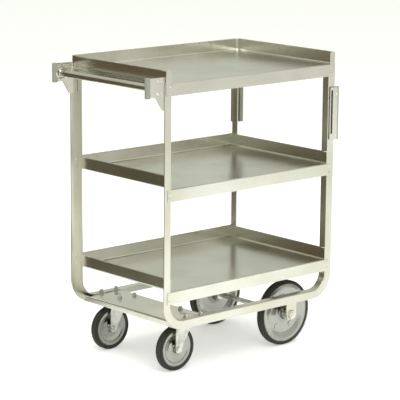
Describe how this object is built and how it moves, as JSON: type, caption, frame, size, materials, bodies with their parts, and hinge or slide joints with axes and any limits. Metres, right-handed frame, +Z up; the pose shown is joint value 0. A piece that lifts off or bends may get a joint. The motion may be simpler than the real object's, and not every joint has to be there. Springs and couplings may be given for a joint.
{
  "type": "utility cart",
  "caption": "Tiered stainless-steel utility cart on bent angle U-frames, with a push handle, corner bumpers, swivel casters at the handle end and large fixed wheels at the other.",
  "frame": {"origin": "on the floor, at the centre of the bounding box's bottom face", "axes": "+X along the cart towards the large fixed wheels, -X to the push handle, -Y the open side where goods slide on, +Y the rimmed long side, +Z up"},
  "size_m": [0.773, 0.4466, 0.907],
  "materials": {
    "stainless": "number 4 brushed stainless, soft streaky reflection",
    "plated_steel": "bright zinc plate",
    "wheel_disc": "bright pressed steel",
    "tyre": "black cushion rubber",
    "bumper_vinyl": "grey vinyl",
    "fastener": "zinc plated"
  },
  "bodies": {
    "frame": {"caster_bolster": "stainless", "caster_bolts": "fastener", "caster_kingpin_far": "fastener", "caster_kingpin_near": "fastener", "caster_nuts": "fastener", "caster_plate_far": "plated_steel", "caster_plate_near": "plated_steel", "caster_upper_race_far": "plated_steel", "caster_upper_race_near": "plated_steel", "caster_washers": "fastener", "handle_bracket_far": "stainless", "handle_bracket_near": "stainless", "handle_bumper_far": "bumper_vinyl", "handle_bumper_near": "bumper_vinyl", "handle_cross_rail": "stainless", "handle_screws": "fastener", "handle_socket_far": "stainless", "handle_socket_near": "stainless", "handle_tube": "stainless", "leg_bumper_carrier_far": "stainless", "leg_bumper_carrier_near": "stainless", "leg_bumper_far": "bumper_vinyl", "leg_bumper_near": "bumper_vinyl", "leg_bumper_screws": "fastener", "rear_axle": "fastener", "rear_axle_collar_far": "fastener", "rear_axle_collar_near": "fastener", "rear_axle_hanger_far": "stainless", "rear_axle_hanger_near": "stainless", "rear_axle_nut_far": "fastener", "rear_axle_nut_near": "fastener", "rear_axle_spacer_far": "fastener", "rear_axle_spacer_near": "fastener", "shelf_bottom": "stainless", "shelf_middle": "stainless", "shelf_rivets": "fastener", "shelf_top": "stainless", "u_frame_far": "stainless", "u_frame_near": "stainless"},
    "caster_yoke_near": {"caster_fork_near": "plated_steel", "caster_axle_bolt_near": "fastener", "caster_axle_nut_near": "fastener", "caster_bushing_near": "fastener"},
    "caster_wheel_near": {"caster_disc_near": "wheel_disc", "caster_tyre_near": "tyre"},
    "rear_wheel_near": {"rear_disc_near": "wheel_disc", "rear_tyre_near": "tyre"},
    "caster_yoke_far": {"caster_fork_far": "plated_steel", "caster_axle_bolt_far": "fastener", "caster_axle_nut_far": "fastener", "caster_bushing_far": "fastener"},
    "caster_wheel_far": {"caster_disc_far": "wheel_disc", "caster_tyre_far": "tyre"},
    "rear_wheel_far": {"rear_disc_far": "wheel_disc", "rear_tyre_far": "tyre"}
  },
  "joints": [
    {"name": "caster_swivel_near", "type": "hinge", "parent": "frame", "child": "caster_yoke_near", "pos_m": [-0.1865, -0.1505, 0.1435], "axis": [0, 0, 1], "continuous": true},
    {"name": "caster_roll_near", "type": "hinge", "parent": "caster_yoke_near", "child": "caster_wheel_near", "pos_m": [-0.2185, -0.1505, 0.0677], "axis": [0, 1, 0], "continuous": true},
    {"name": "rear_roll_near", "type": "hinge", "parent": "frame", "child": "rear_wheel_near", "pos_m": [0.2225, -0.1555, 0.1016], "axis": [0, 1, 0], "continuous": true},
    {"name": "caster_swivel_far", "type": "hinge", "parent": "frame", "child": "caster_yoke_far", "pos_m": [-0.1865, 0.1505, 0.1435], "axis": [0, 0, 1], "continuous": true},
    {"name": "caster_roll_far", "type": "hinge", "parent": "caster_yoke_far", "child": "caster_wheel_far", "pos_m": [-0.2185, 0.1505, 0.0677], "axis": [0, 1, 0], "continuous": true},
    {"name": "rear_roll_far", "type": "hinge", "parent": "frame", "child": "rear_wheel_far", "pos_m": [0.2225, 0.1555, 0.1016], "axis": [0, 1, 0], "continuous": true}
  ]
}
